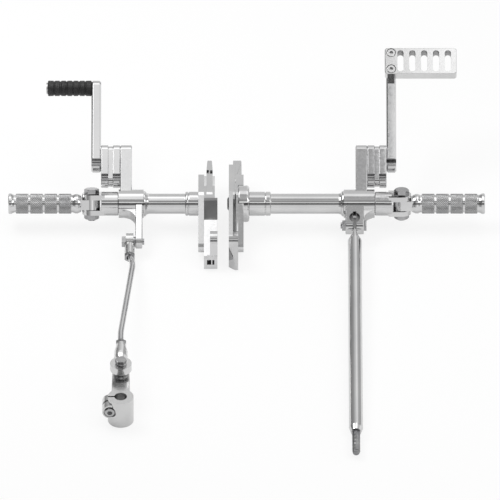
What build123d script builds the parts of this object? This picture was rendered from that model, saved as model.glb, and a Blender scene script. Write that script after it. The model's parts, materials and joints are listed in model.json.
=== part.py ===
from build123d import *
import os
from math import cos, degrees, radians, sin, tan

# A pair of motorcycle forward controls with folding footpegs, in millimetres.
# +X points to the rider's right, +Y towards the levers and +Z up from the surface that the set lies on.
# The origin is on the peg axis, at the inner face of the left bracket.
# Each side is drawn with +X pointing outwards from its bracket and is then put in its place.

# Clearances
turn_gap = 0.06  # radial, around pieces that turn
seat_gap = 0.03  # radial, around pieces that are fixed
side_gap = 0.3  # axial, beside pieces that turn
hole_gap = 0.2  # radial, around bolts in plain holes

# Layout of the set
bracket_spacing = 14.0
axis_height = 34.0
lever_tilt = 27.0

# Brackets, as circles (Y, Z, radius) and corners (Y, Z) of their side views
bolt_hole_offset = 80.0
bolt_hole_radius = 5.2
far_lug_radius = 8.5
near_lug_radius = 12.0
boss_radius = 22.0
foot_radius = 5.0
near_arm_corners = [
    (31.0, -34.0), (-96.0, -34.0), (-99.0, -31.0), (-99.0, -20.0), (-95.5, -13.5), (-33.0, -1.5)
]
saddle_corners = [(-33.0, -1.5), (-22.8, 8.8), (-14.5, 20.5)]
back_corners = [(-14.5, 20.5), (12.0, 20.0), (34.0, 4.0), (34.0, -31.0), (31.0, -34.0)]
far_web_rounds = [(80.0, 0.0, 8.5), (0.0, 0.0, 22.0), (29.0, -29.0, 5.0)]
far_side_rounds = [(56.0, -8.0, 9.0), (0.0, 0.0, 20.0), (29.0, -29.0, 5.0)]
near_lug_rounds = [(-80.0, 0.0, 12.0), (-93.0, -29.0, 5.0), (-67.0, -29.0, 5.0)]
flange_rounds = [(38.0, 8.0, 9.0), (0.0, 0.0, 22.0), (-66.0, -19.0, 8.5)]
left_bracket_thickness = 17.5
left_flange_thickness = 7.5
left_web_start = 6.4
left_web_end = 14.4
left_upper_start = 3.5
left_upper_front = -14.5
left_near_lug_thickness = 9.6
left_head_start = 4.2
pocket_length = 10.0
pocket_depth = 6.0
pocket_rib = 1.4
far_pocket_place = 51.0
front_pockets = [(3.9, 6.6), (8.0, 13.6)]
right_rim_rounds = [
    (76.0, -2.0, 7.5), (0.0, 0.0, 23.0), (-80.0, 0.0, 11.0), (-96.0, -29.0, 5.0), (29.0, -29.0, 5.0)
]
right_floor_rounds = [
    (60.0, -4.0, 5.0), (0.0, 0.0, 14.0), (-60.0, -8.0, 8.0), (-94.0, -29.0, 5.0), (29.0, -29.0, 5.0)
]
right_block_rounds = [(-80.0, 0.0, 12.0), (-97.0, -29.0, 5.0), (-60.0, -29.0, 5.0)]
right_far_rounds = [(80.0, 0.0, 8.5), (44.0, -4.0, 12.0)]
right_rim_start = 0.8
right_rim_end = 6.2
right_floor_end = 10.0
right_far_start = 7.6
right_far_end = 17.4
right_head_start = -1.2
right_bracket_thickness = 13.0
right_rib_thickness = 7.0
right_block_slope = 42.0
ring_seat_gap = 0.3
spacer_ring_radius = 24.0
spacer_ring_length = 14.5

# Barrels
collar_radius = 15.8
tube_radius = 13.2
shoulder_radius = 17.0
journal_radius = 12.0
collar_seam_depth = 0.8
collar_seam_width = 1.4
flare_length = 7.0
left_collar_length = 17.0
left_tube_length = 47.0
right_collar_length = 28.0
right_tube_length = 88.0

# Axle bolts
axle_radius = 6.0
axle_head_radius = 10.0
axle_head_length = 7.0
axle_socket_depth = 4.5
axle_socket_width = 8.0
axle_thread_reach = 16.0

# Hubs
hub_radius = 18.6
bush_radius = 14.5
bush_length = 12.0
left_hub_length = 32.5
right_hub_length = 40.0
arm_offset = 15.5
arm_thickness = 15.0
arm_root_radius = 15.0
arm_end_reach = 68.0
bar_radius = 10.0
arm_edge = 0.9
gusset_reach = 35.0
gusset_root = 17.0
gusset_sag = 4.5
shift_gusset_width = 14.0
brake_gusset_width = 11.0
gusset_half_height = 9.0

# Adjuster links between hub arm and lever
link_thickness = 9.8
link_spacer_thickness = 5.6
link_spacer_inset = 1.5
link_gap = 0.1
lower_pin_reach = 34.0
upper_pin_reach = 56.0
pin_radius = 4.0
pin_head_radius = 6.5
pin_head_length = 3.0
pin_socket_width = 4.0
notch_width = 9.5
notch_depth = 8.0

# Levers
lever_thickness = 12.6
lever_edge = 2.0
link_edge = 0.9
shift_lever_reach = 168.0
brake_lever_reach = 203.0

# Toe peg
toe_stud_radius = 5.0
toe_stud_head = 2.0
toe_sleeve_radius = 10.2
toe_sleeve_length = 57.0
toe_rib_count = 7
toe_groove_depth = 1.1
toe_groove_width = 1.8

# Brake pad
pad_width = 94.0
pad_height = 37.6
pad_thickness = 15.0
pad_corner = 4.0
pad_overhang = 2.0
pad_centre_reach = 196.0
pad_screw_spacing = 23.5
pad_screw_radius = 3.0
pad_screw_head_radius = 5.4
pad_screw_counterbore_radius = 6.3
pad_screw_head_length = 6.0
pad_screw_socket_width = 5.0
pad_screw_grip = 9.0
pad_slot_count = 5
pad_slot_pitch = 15.5
pad_slot_width = 8.2
pad_slot_length = 30.5
first_slot_offset = 20.5

# Rod arms
shift_arm_thickness = 9.0
shift_arm_offset = 1.5
shift_arm_reach = 63.0
shift_arm_drop = 15.0
shift_arm_end_radius = 9.0
brake_fork_width = 24.0
brake_fork_offset = 2.0
brake_fork_reach = 34.0
brake_fork_drop = 20.0
brake_fork_end_radius = 11.5
brake_slot_width = 4.8
brake_fork_bore = 7.0
brake_fork_bore_depth = 6.0

# Peg mounts and pegs
mount_radius = 15.6
mount_length = 22.0
mount_step = 0.8
fork_reach = 35.0
fork_end_radius = 12.5
fork_half_height = 13.5
fork_slot = 13.8
fork_root = 23.0
peg_bolt_radius = 5.0
peg_bolt_width = 17.0
peg_bolt_head_length = 6.5
peg_nut_length = 6.5
peg_nut_collar_radius = 7.4
peg_nut_collar_length = 3.0
peg_tongue_radius = 11.0
tongue_gap = 0.2
peg_neck_reach = 13.4
peg_radius = 12.7
peg_neck_radius = 10.4
peg_neck_profile = [
    (0.0, 10.2), (1.0, 11.2), (3.6, 12.2), (5.0, 12.9), (8.0, 12.9), (9.0, 12.4), (11.2, 11.5), (13.1, 11.5)
]
peg_band_count = 4
peg_band_length = 16.2
peg_band_gap = 2.45
peg_groove_depth = 1.1
peg_cap_profile = [(0.0, 11.6), (1.9, 11.6), (4.6, 12.6), (6.0, 13.5), (9.0, 13.5), (9.9, 12.6), (9.9, 0.0)]
left_peg_turn = 25.0
right_peg_turn = 15.0

# Shift rod and its ends
eye_radius = 11.0
eye_thickness = 9.6
eye_spacer_thickness = 2.6
eye_spacer_radius = 6.5
eye_bolt_radius = 4.0
eye_bolt_width = 13.0
eye_bolt_head_length = 5.4
eye_shank_radius = 6.6
eye_shank_reach = 30.0
rod_radius = 3.8
jam_nut_width = 13.0
jam_nut_length = 5.0
rod_bend_radius = 24.0
rod_bend_y = -124.0
rod_bend_shift = 4.5
rod_foot_y = -296.0
ball_radius = 8.4
ball_half_height = 6.0
ball_ring_radius = 14.0
ball_ring_thickness = 9.6
ball_shank_radius = 8.6
ball_shank_end_radius = 6.6
ball_shank_reach = 45.0
ball_y = -369.0
ball_x = -124.0

# Shaft clamp
clamp_radius = 16.6
clamp_height = 38.0
clamp_bore_radius = 8.0
clamp_reach = 50.0
clamp_arm_thickness = 12.0
clamp_arm_root_radius = 12.0
clamp_spacer_height = 5.0
clamp_eye_radius = 11.0
clamp_slit = 2.4
clamp_ear_reach = 23.7
clamp_ear_half_width = 12.5
clamp_ear_radius = 9.7
clamp_ear_root_radius = 13.5
clamp_ear_drop = 15.8
clamp_screw_offset = 14.0
clamp_screw_radius = 4.0
clamp_screw_head_radius = 6.5
clamp_screw_head_length = 7.4
clamp_screw_seat_radius = 8.0
clamp_screw_seat_depth = 5.6
clamp_screw_socket_width = 6.0
clamp_screw_edge = 0.6
ball_spacer_radius = 9.2
ball_spacer_foot_radius = 8.0
ball_nut_length = 6.5

# Brake rod
brake_tube_radius = 9.0
brake_tongue_thickness = 4.0
brake_tongue_radius = 10.0
brake_rod_bolt_radius = 4.0
brake_rod_bolt_width = 13.0
brake_rod_bolt_head_length = 3.4
brake_rod_nut_length = 4.4
brake_flat_length = 17.0
brake_flare_length = 16.0
brake_rod_length = 425.0
brake_taper_length = 9.0
brake_stud_radius = 5.2
brake_stud_seat_radius = 4.7
brake_stud_length = 58.0
brake_stud_depth = 30.0
brake_stud_chamfer = 1.6


# Basic forms
def rod_x(radius, start, length, y=0.0, z=0.0):
    turn = Pos(start, y, z) * Rot(0, 90, 0)
    return turn * Cylinder(radius, length, align=(Align.CENTER, Align.CENTER, Align.MIN))


def rod_z(radius, start, length, x=0.0, y=0.0):
    return Pos(x, y, start) * Cylinder(radius, length, align=(Align.CENTER, Align.CENTER, Align.MIN))


def hex_z(width, start, length, x=0.0, y=0.0):
    outline = RegularPolygon(width / 2, 6, major_radius=False)
    return extrude(Pos(x, y, start) * outline, length)


def hex_x(width, start, length, y=0.0, z=0.0):
    outline = RegularPolygon(width / 2, 6, major_radius=False)
    return Pos(start, y, z) * Rot(0, 90, 0) * extrude(outline, length)


def chamfered_hex_z(width, start, length, top=True):
    body = hex_z(width, start, length)
    corner_radius = width / 2 / cos(radians(30))
    slope = (corner_radius - width / 2) * tan(radians(30))
    base = start + length - slope if top else start + slope
    tip = start + length if top else start
    edge_face = Plane.XZ * make_face(
        Polyline((width / 2, tip), (corner_radius + 1, tip), (corner_radius + 1, base - (1 if top else -1) * 0.6), close=True)
    )
    return body - revolve(edge_face, Axis.Z)


def turned(points):
    return revolve(make_face(Polyline(*points, close=True)), Axis.X)


def side_plate(outline, start, thickness):
    return extrude(Plane.YZ.offset(start) * outline, thickness)


def bar(near, near_radius, far, far_radius):
    rounds = Pos(near[0], near[1]) * Circle(near_radius) + Pos(far[0], far[1]) * Circle(far_radius)
    return make_hull(rounds.edges())


def hull_of(rounds):
    outline = Sketch()
    for y, z, radius in rounds:
        outline += Pos(y, z) * Circle(radius)
    return make_hull(outline.edges())


def on_left(shape):
    return mirror(shape, about=Plane.YZ)


def on_right(shape):
    return Pos(bracket_spacing, 0, 0) * shape


# Brackets
def layer(rounds, start, end):
    return side_plate(hull_of(rounds), start, end - start)


def near_arm_layer(start, end):
    edges = Polyline(*near_arm_corners) + ThreePointArc(*saddle_corners) + Polyline(*back_corners)
    return side_plate(make_face(edges), start, end - start)


def bracket_holes(thickness, head_start):
    cut = rod_x(bolt_hole_radius, -1, thickness + 2, y=bolt_hole_offset)
    cut += rod_x(bolt_hole_radius, -1, thickness + 2, y=-bolt_hole_offset)
    cut += rod_x(axle_radius + hole_gap, -1, thickness + 2)
    cut += rod_x(axle_head_radius + hole_gap, -2, 2 + head_start + axle_head_length)
    return cut


def pocket(start, end, y, z):
    return Pos((start + end) / 2, y, z) * Box(end - start, pocket_length, 2 * pocket_depth)


def make_left_bracket():
    total = left_bracket_thickness + left_flange_thickness
    body = near_arm_layer(0, left_bracket_thickness)
    step = Box(left_upper_start + 1, bolt_hole_offset, bolt_hole_offset, align=(Align.MAX, Align.MIN, Align.CENTER))
    body -= Pos(left_upper_start, left_upper_front, 0) * step
    body += layer(far_side_rounds, left_upper_start, left_bracket_thickness)
    body += layer(far_web_rounds, left_web_start, left_web_end)
    body += layer(near_lug_rounds, 0, left_near_lug_thickness)
    body += layer(flange_rounds, left_bracket_thickness, total)
    middle = (left_web_start + left_web_end) / 2
    far_height = far_lug_radius + pocket_depth + 1
    body -= pocket(left_web_start - 1, middle - pocket_rib / 2, far_pocket_place, far_height)
    body -= pocket(middle + pocket_rib / 2, left_web_end + 1, far_pocket_place, far_height)
    front_place, front_height = near_arm_corners[3]
    for start, end in front_pockets:
        body -= pocket(start, end, front_place, front_height + 1)
    return body - bracket_holes(total, left_head_start)


def make_right_bracket():
    total = right_bracket_thickness + right_rib_thickness
    body = layer(right_rim_rounds, right_rim_start, right_rim_end)
    body += layer(right_floor_rounds, right_rim_end, right_floor_end)
    body += layer(right_block_rounds, right_rim_end, right_bracket_thickness)
    body += layer(flange_rounds, right_floor_end, total)
    body += layer(right_far_rounds, right_far_start, right_far_end)
    body += layer(far_web_rounds, right_rim_end, right_far_start + 1)
    corner = Pos(right_rim_start, -bolt_hole_offset - near_lug_radius, 0) * Rot(0, 0, -right_block_slope)
    body -= corner * Box(
        bolt_hole_offset, bolt_hole_offset, bolt_hole_offset, align=(Align.CENTER, Align.MAX, Align.CENTER)
    )
    body -= rod_x(spacer_ring_radius + ring_seat_gap, right_bracket_thickness, right_rib_thickness + 1)
    return body - bracket_holes(total, right_head_start)


# Barrels, drawn from the face that they seat on
def make_barrel(start, collar_length, tube_length, hub_length):
    tube_start = start + collar_length
    flare_start = tube_start + tube_length
    shoulder = flare_start + flare_length
    end = shoulder + side_gap + hub_length + side_gap
    bore = axle_radius + hole_gap
    seam = start + collar_length * 0.72
    body = turned([
        (start, bore),
        (start, collar_radius),
        (seam, collar_radius),
        (seam, collar_radius - collar_seam_depth),
        (seam + collar_seam_width, collar_radius - collar_seam_depth),
        (seam + collar_seam_width, collar_radius),
        (tube_start - 1, collar_radius),
        (tube_start, collar_radius - 1),
        (tube_start, tube_radius),
        (flare_start, tube_radius),
        (flare_start + flare_length * 0.45, tube_radius + 0.9),
        (shoulder - 2, shoulder_radius - 0.6),
        (shoulder, shoulder_radius),
        (shoulder, journal_radius),
        (end, journal_radius),
        (end, bore),
    ])
    return body, shoulder, end


def make_axle_bolt(mount_start, head_start):
    reach = mount_start + axle_thread_reach - 2
    body = turned([
        (head_start, 0),
        (head_start, axle_head_radius - 3),
        (head_start + 2, axle_head_radius - 0.6),
        (head_start + 3, axle_head_radius),
        (head_start + axle_head_length, axle_head_radius),
        (head_start + axle_head_length, axle_radius),
        (reach - 1, axle_radius),
        (reach, axle_radius - 1),
        (reach, 0),
    ])
    return body - hex_x(axle_socket_width, head_start - 1, 1 + axle_socket_depth)


# Hubs turn on the barrel's journal
def make_bushings(shoulder, hub_length):
    start = shoulder + side_gap
    bushes = []
    for place in (start, start + hub_length - bush_length):
        ring = rod_x(bush_radius - seat_gap, place, bush_length)
        bushes.append(ring - rod_x(journal_radius + turn_gap, place - 1, bush_length + 2))
    return Compound(bushes)


def hub_body(shoulder, hub_length):
    start = shoulder + side_gap
    arm = bar((0, 0), arm_root_radius, (arm_end_reach, 0), bar_radius)
    body = softened(side_plate(arm, start + arm_offset, arm_thickness), arm_edge)
    body = Rot(lever_tilt, 0, 0) * body
    body += rod_x(hub_radius, start, hub_length)
    return body


def softened(plate, edge):
    return chamfer(plate.faces().filter_by(Axis.X).edges(), edge)


def gusset(side, width):
    end = side + width
    outline = Polyline((side, -gusset_reach), (side - 1, -gusset_reach), (side - 1, 0), (end, 0), (end, -gusset_root))
    curve = ThreePointArc(
        (side, -gusset_reach), (side + width * 0.3, -gusset_root - gusset_sag), (end, -gusset_root)
    )
    return extrude(make_face(outline + curve), gusset_half_height, both=True)


def hub_bore(shoulder, hub_length):
    start = shoulder + side_gap
    middle = hub_length - 2 * bush_length
    cut = rod_x(bush_radius, start - 1, bush_length + 1)
    cut += rod_x(bush_radius, start + hub_length - bush_length, bush_length + 1)
    cut += rod_x(journal_radius + 1, start + bush_length - 1, middle + 2)
    pin = rod_x(pin_radius + seat_gap, start + arm_offset - 1, arm_thickness + 2, y=lower_pin_reach)
    recess = rod_x(pin_head_radius + hole_gap, start + arm_offset - 1, 1 + pin_head_length, y=lower_pin_reach)
    return cut + Rot(lever_tilt, 0, 0) * (pin + recess)


def make_shift_hub(shoulder):
    start = shoulder + side_gap
    body = hub_body(shoulder, left_hub_length)
    arm = bar((0, 0), arm_root_radius, (-shift_arm_reach, 0), shift_arm_end_radius)
    rod_arm = softened(side_plate(arm, start + shift_arm_offset, shift_arm_thickness), arm_edge)
    rod_arm += gusset(start + shift_arm_offset + shift_arm_thickness, shift_gusset_width)
    hole = rod_x(eye_bolt_radius + seat_gap, start, shift_arm_offset + shift_arm_thickness + 1, y=-shift_arm_reach)
    body += Rot(shift_arm_drop, 0, 0) * rod_arm
    return body - hub_bore(shoulder, left_hub_length) - Rot(shift_arm_drop, 0, 0) * hole


def make_brake_hub(shoulder):
    start = shoulder + side_gap
    body = hub_body(shoulder, right_hub_length)
    arm = bar((0, 0), arm_root_radius, (-brake_fork_reach, 0), brake_fork_end_radius)
    block = softened(side_plate(arm, start + brake_fork_offset, brake_fork_width), arm_edge)
    block += gusset(start + brake_fork_offset + brake_fork_width, brake_gusset_width)
    middle = start + brake_fork_offset + brake_fork_width / 2
    slot = Pos(middle, -brake_fork_reach - 2, 0) * Box(brake_slot_width, 2 * brake_fork_end_radius + 8, 60)
    throat_base = brake_fork_end_radius - brake_fork_bore_depth + 2
    throat = rod_z(brake_fork_bore, throat_base, 20, x=middle, y=-brake_fork_reach + 5)
    hole = rod_x(brake_rod_bolt_radius + seat_gap, start, brake_fork_width + 6, y=-brake_fork_reach)
    body += Rot(brake_fork_drop, 0, 0) * block
    return body - hub_bore(shoulder, right_hub_length) - Rot(brake_fork_drop, 0, 0) * (slot + throat + hole)


# Adjuster: two links and a spacer, clamped between hub arm and lever
def notched_bar(near, far, start, thickness, notch_reach, edge):
    body = softened(side_plate(bar((near, 0), bar_radius, (far, 0), bar_radius), start, thickness), edge)
    opening = Pos(start + thickness / 2, notch_reach, bar_radius) * Box(thickness + 2, notch_width, 2 * notch_depth)
    return body - opening


def make_links(start):
    inner_start = start + link_gap
    spacer_start = inner_start + link_thickness
    outer_start = spacer_start + link_spacer_thickness
    pins = rod_x(pin_radius + seat_gap, start - 1, 40, y=lower_pin_reach)
    pins += rod_x(pin_radius + seat_gap, start - 1, 40, y=upper_pin_reach)
    inner = notched_bar(lower_pin_reach, arm_end_reach, inner_start, link_thickness, lower_pin_reach, link_edge)
    outer = notched_bar(lower_pin_reach, arm_end_reach, outer_start, link_thickness, lower_pin_reach, link_edge)
    spacer_radius = bar_radius - link_spacer_inset
    spacer = side_plate(
        bar((lower_pin_reach, 0), spacer_radius, (arm_end_reach, 0), spacer_radius), spacer_start, link_spacer_thickness
    )
    end = outer_start + link_thickness
    return inner - pins, outer - pins, spacer - pins, end


def make_adjuster_pins(hub_start, link_start, link_end, lever_end):
    arm_start = hub_start + arm_offset
    lower = rod_x(pin_head_radius, arm_start, pin_head_length, y=lower_pin_reach)
    lower += rod_x(pin_radius, arm_start, link_end - arm_start - 0.5, y=lower_pin_reach)
    lower -= hex_x(pin_socket_width, arm_start - 1, 3.0, y=lower_pin_reach)
    upper = rod_x(pin_radius, link_start + link_gap + 0.5, lever_end - link_start - 1, y=upper_pin_reach)
    upper -= hex_x(pin_socket_width, lever_end - 3.5, 4.0, y=upper_pin_reach)
    return Compound([lower, upper])


def lever_bar(start, reach):
    body = notched_bar(upper_pin_reach, reach, start, lever_thickness, upper_pin_reach, lever_edge)
    return body - rod_x(pin_radius + seat_gap, start - 1, lever_thickness + 2, y=upper_pin_reach)


def make_toe_stud(lever_start):
    lever_end = lever_start + lever_thickness
    reach = lever_end + toe_sleeve_length
    body = rod_x(toe_stud_radius, lever_start + 2, reach - lever_start - 2, y=shift_lever_reach)
    body += rod_x(toe_stud_radius + 2.5, reach, toe_stud_head, y=shift_lever_reach)
    return body


def make_toe_sleeve(lever_end):
    points = [(lever_end, toe_stud_radius + seat_gap), (lever_end, toe_sleeve_radius)]
    pitch = toe_sleeve_length / toe_rib_count
    for rib in range(1, toe_rib_count):
        edge = lever_end + rib * pitch
        points.append((edge - toe_groove_width / 2, toe_sleeve_radius))
        points.append((edge - toe_groove_width / 2 + 0.4, toe_sleeve_radius - toe_groove_depth))
        points.append((edge + toe_groove_width / 2 - 0.4, toe_sleeve_radius - toe_groove_depth))
        points.append((edge + toe_groove_width / 2, toe_sleeve_radius))
    end = lever_end + toe_sleeve_length
    points += [(end - 1, toe_sleeve_radius), (end, toe_sleeve_radius - 1), (end, toe_stud_radius + seat_gap)]
    return Pos(0, shift_lever_reach, 0) * turned(points)


# Brake pad, drawn flat on top of its lever
def slot_places(lever_start):
    first = lever_start - pad_overhang + first_slot_offset
    return [first + index * pad_slot_pitch for index in range(pad_slot_count)]


def make_pad(lever_start):
    left_edge = lever_start - pad_overhang
    middle = left_edge + pad_width / 2
    plan = Pos(middle, pad_centre_reach) * RectangleRounded(pad_width, pad_height, pad_corner)
    body = extrude(Pos(0, 0, bar_radius) * plan, pad_thickness)
    body = chamfer(body.faces().sort_by(Axis.Z)[-1].edges(), 0.8)
    for place in slot_places(lever_start):
        gap = Pos(place, pad_centre_reach) * Rot(0, 0, 90) * SlotOverall(pad_slot_length, pad_slot_width)
        body -= extrude(Pos(0, 0, bar_radius - 1) * gap, pad_thickness + 2)
    for reach in pad_screw_reaches():
        screw_x = lever_start + lever_thickness / 2
        top = bar_radius + pad_thickness
        body -= rod_z(pad_screw_radius + hole_gap, bar_radius - 1, pad_thickness + 2, screw_x, reach)
        body -= rod_z(pad_screw_counterbore_radius, top - pad_screw_head_length, 10, screw_x, reach)
    return body


def pad_screw_reaches():
    return [pad_centre_reach - pad_screw_spacing / 2, pad_centre_reach + pad_screw_spacing / 2]


def make_brake_lever(start):
    body = lever_bar(start, brake_lever_reach)
    for reach in pad_screw_reaches():
        screw_x = start + lever_thickness / 2
        body -= rod_z(pad_screw_radius + seat_gap, bar_radius - pad_screw_grip - 1, 30, screw_x, reach)
    return body


def make_pad_screws(lever_start):
    screws = []
    for reach in pad_screw_reaches():
        screw_x = lever_start + lever_thickness / 2
        seat = bar_radius + pad_thickness - pad_screw_head_length
        screw = rod_z(pad_screw_head_radius, seat, pad_screw_head_length - 0.3, screw_x, reach)
        screw += rod_z(pad_screw_radius, bar_radius - pad_screw_grip, seat - bar_radius + pad_screw_grip, screw_x, reach)
        screws.append(screw - hex_z(pad_screw_socket_width, seat + 2, 10, screw_x, reach))
    return Compound(screws)


# Peg mount and peg, drawn with the hinge bolt upright
def make_mount(start):
    pivot = start + fork_reach
    body = turned([
        (start, 0),
        (start, mount_radius - mount_step),
        (start + 1, mount_radius),
        (start + mount_length, mount_radius),
        (start + mount_length, 0),
    ])
    plan = Pos(pivot, 0) * Circle(fork_end_radius)
    root = start + mount_length - 4
    plan += Pos((pivot + root) / 2, 0) * Rectangle(pivot - root, 2 * fork_end_radius)
    fork = extrude(Pos(0, 0, -fork_half_height) * plan, 2 * fork_half_height)
    body += fork
    gap = Pos(start + fork_root + 30, 0, 0) * Box(60, 60, fork_slot)
    thread = rod_x(axle_radius + seat_gap, start - 1, axle_thread_reach + 1)
    hinge = rod_z(peg_bolt_radius + seat_gap, -fork_half_height - 1, 2 * fork_half_height + 2, x=pivot)
    return body - gap - thread - hinge


def make_peg(pivot):
    half = fork_slot / 2 - tongue_gap
    neck = pivot + peg_neck_reach
    plan = Pos(pivot, 0) * Circle(peg_tongue_radius)
    plan += Pos((pivot + neck + 2) / 2, 0) * Rectangle(neck + 2 - pivot, 2 * peg_neck_radius)
    tongue = extrude(Pos(0, 0, -half) * plan, 2 * half)
    points = [(neck, 0)]
    points += [(neck + along, radius) for along, radius in peg_neck_profile]
    place = points[-1][0]
    for band in range(peg_band_count):
        points.append((place, peg_radius))
        points.append((place + peg_band_length, peg_radius))
        place += peg_band_length
        if band < peg_band_count - 1:
            points.append((place, peg_radius - peg_groove_depth))
            points.append((place + peg_band_gap, peg_radius - peg_groove_depth))
            place += peg_band_gap
    points += [(place + along, radius) for along, radius in peg_cap_profile]
    grip = turned(points)
    hole = rod_z(peg_bolt_radius + turn_gap, -half - 1, 2 * half + 2, x=pivot)
    return grip + tongue - hole


def make_peg_bolt(pivot):
    head = chamfered_hex_z(peg_bolt_width, fork_half_height, peg_bolt_head_length)
    reach = fork_half_height + peg_nut_length + 2
    shank = rod_z(peg_bolt_radius, -reach, reach + fork_half_height)
    return Pos(pivot, 0, 0) * (head + shank)


def make_peg_nut(pivot):
    start = -fork_half_height - peg_nut_length
    body = chamfered_hex_z(peg_bolt_width, start, peg_nut_length, top=False)
    body -= rod_z(peg_bolt_radius + seat_gap, start - 1, peg_nut_length + 2)
    return Pos(pivot, 0, 0) * body


# Shift rod, in the places of the finished set
def shift_eye_place():
    angle = radians(shift_arm_drop)
    return -shift_arm_reach * cos(angle), -shift_arm_reach * sin(angle)


def make_eye_parts(arm_start):
    y, z = shift_eye_place()
    arm_end = arm_start + shift_arm_thickness
    spacer_start = arm_end
    eye_start = spacer_start + eye_spacer_thickness
    eye_end = eye_start + eye_thickness
    middle = eye_start + eye_thickness / 2
    bolt = rod_x(eye_bolt_radius, arm_start - 2.5, eye_end + 0.2 - arm_start + 2.5, y, z)
    bolt += hex_x(eye_bolt_width, eye_end + 0.2, eye_bolt_head_length, y, z)
    spacer = rod_x(eye_spacer_radius, spacer_start, eye_spacer_thickness - 0.2, y, z)
    spacer -= rod_x(eye_bolt_radius + seat_gap, spacer_start - 1, eye_spacer_thickness + 2, y, z)
    eye = rod_x(eye_radius, eye_start, eye_thickness, y, z)
    shank_start = eye_radius - 1.5
    shank = Pos(middle, y - shank_start, z) * Rot(90, 0, 0) * Cylinder(
        eye_shank_radius, eye_shank_reach - shank_start, align=(Align.CENTER, Align.CENTER, Align.MIN)
    )
    eye += shank
    eye -= rod_x(eye_bolt_radius + turn_gap, eye_start - 9, eye_thickness + 18, y, z)
    bore = Pos(middle, y - eye_shank_reach + 14, z) * Rot(90, 0, 0) * Cylinder(
        rod_radius + seat_gap, 20, align=(Align.CENTER, Align.CENTER, Align.MIN)
    )
    return eye - bore, bolt, spacer, middle


def rod_route(eye_middle):
    y, z = shift_eye_place()
    top_x = -eye_middle
    start = (top_x, y - eye_shank_reach + 12, z)
    bend = (top_x + rod_bend_shift, rod_bend_y, z + 2)
    knee = (top_x, y - eye_shank_reach - 12, z)
    foot = (ball_x, rod_foot_y, ball_z())
    end = (ball_x, ball_y + ball_shank_reach - 12, ball_z())
    return start, knee, bend, foot, end


def ball_z():
    return clamp_top() + clamp_spacer_height + ball_half_height


def clamp_top():
    return clamp_height - axis_height


def make_shift_rod(eye_middle):
    start, knee, bend, foot, end = rod_route(eye_middle)
    path = FilletPolyline(start, knee, bend, foot, end, radius=[12.0, rod_bend_radius, rod_bend_radius])
    section = Plane(origin=path @ 0, z_dir=path % 0) * Circle(rod_radius)
    return sweep(section, path)


def jam_nut(x, y, z):
    outline = RegularPolygon(jam_nut_width / 2, 6, major_radius=False, rotation=30)
    ring = extrude(outline - Circle(rod_radius + seat_gap), jam_nut_length)
    return Pos(x, y, z) * Rot(90, 0, 0) * ring


def make_jam_nuts(eye_middle):
    y, z = shift_eye_place()
    upper = jam_nut(-eye_middle, y - eye_shank_reach, z)
    lower = jam_nut(ball_x, ball_y + ball_shank_reach + jam_nut_length, ball_z())
    return Compound([upper, lower])


def make_ball_housing():
    z = ball_z()
    half = ball_ring_thickness / 2
    body = rod_z(ball_ring_radius, z - half, 2 * half, ball_x, ball_y)
    profile = Plane.XY * make_face(Polyline(
        (9.0, 0), (9.0, ball_shank_radius * 0.6), (18.0, ball_shank_radius), (30.0, ball_shank_radius),
        (ball_shank_reach - 4, ball_shank_end_radius), (ball_shank_reach, ball_shank_end_radius),
        (ball_shank_reach, 0), close=True
    ))
    shank = Pos(ball_x, ball_y, z) * Rot(0, 0, 90) * revolve(profile, Axis.X)
    body += shank
    body -= Pos(ball_x, ball_y, z) * Sphere(ball_radius + turn_gap)
    bore = Pos(ball_x, ball_y + ball_shank_reach + 1, z) * Rot(90, 0, 0) * Cylinder(
        rod_radius + seat_gap, 20, align=(Align.CENTER, Align.CENTER, Align.MIN)
    )
    return body - bore


def make_ball():
    body = Pos(ball_x, ball_y, ball_z()) * Sphere(ball_radius)
    keep = rod_z(ball_radius + 1, ball_z() - ball_half_height, 2 * ball_half_height, ball_x, ball_y)
    return (body & keep) - rod_z(eye_bolt_radius + seat_gap, ball_z() - 20, 40, ball_x, ball_y)


def make_ball_spacer():
    side = Polyline(
        (0, 0), (ball_spacer_foot_radius, 0), (ball_spacer_radius, clamp_spacer_height * 0.4),
        (ball_spacer_radius, clamp_spacer_height), (0, clamp_spacer_height), close=True
    )
    body = Pos(ball_x, ball_y, clamp_top()) * revolve(Plane.XZ * make_face(side), Axis.Z)
    return body - rod_z(eye_bolt_radius + seat_gap, clamp_top() - 1, clamp_spacer_height + 2, ball_x, ball_y)


def make_ball_bolt():
    seat = ball_z() + ball_half_height
    reach = clamp_top() - clamp_arm_thickness - ball_nut_length - 1.5
    body = hex_z(eye_bolt_width, seat, eye_bolt_head_length, ball_x, ball_y)
    return body + rod_z(eye_bolt_radius, reach, seat - reach, ball_x, ball_y)


def make_ball_nut():
    start = clamp_top() - clamp_arm_thickness - ball_nut_length
    body = hex_z(eye_bolt_width, start, ball_nut_length, ball_x, ball_y)
    return body - rod_z(eye_bolt_radius + seat_gap, start - 1, ball_nut_length + 2, ball_x, ball_y)


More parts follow.
